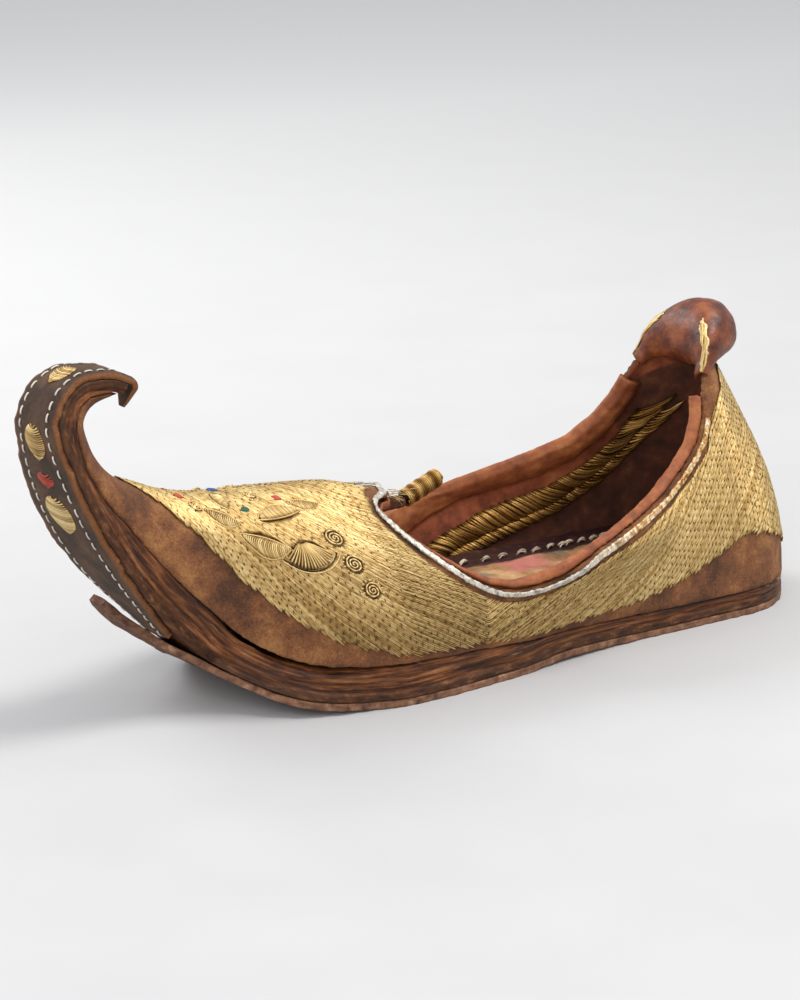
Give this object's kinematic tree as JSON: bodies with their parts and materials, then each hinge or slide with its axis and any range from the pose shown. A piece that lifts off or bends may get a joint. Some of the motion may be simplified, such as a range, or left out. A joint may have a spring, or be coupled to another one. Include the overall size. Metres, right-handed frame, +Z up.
{
  "type": "wedding slipper",
  "caption": "Low slipper with an upturned, curled toe, a gilt embroidered upper, a piped collar with a throat knob and a folded leather hood at the heel.",
  "frame": {"origin": "on the floor, under the middle of the heel seat", "axes": "+X from the heel to the toe, +Y to the wearer's left, +Z up"},
  "size_m": [0.2792, 0.094, 0.107],
  "materials": {
    "outsole": "worn, dusty and torn at the front",
    "midsole": "stacked layers, cracked and dry",
    "toe_strip": "napped and grey, with pale thong stitches",
    "upper": "couched gilt thread laid over brown suede",
    "insole": "worn cloth with a dark leather border",
    "collar_roll": "rolled lining with a gilt braid",
    "piping": "silver ribbon",
    "heel_cap": "glossy, creased",
    "toggle": "wound with gilt thread",
    "toggle_tab": "suede"
  },
  "bodies": {
    "root": {"outsole": "outsole", "midsole": "midsole", "toe_strip": "toe_strip", "upper": "upper", "insole": "insole", "collar_roll": "collar_roll", "piping": "piping", "heel_cap": "heel_cap", "toggle": "toggle", "toggle_tab": "toggle_tab"}
  },
  "joints": []
}
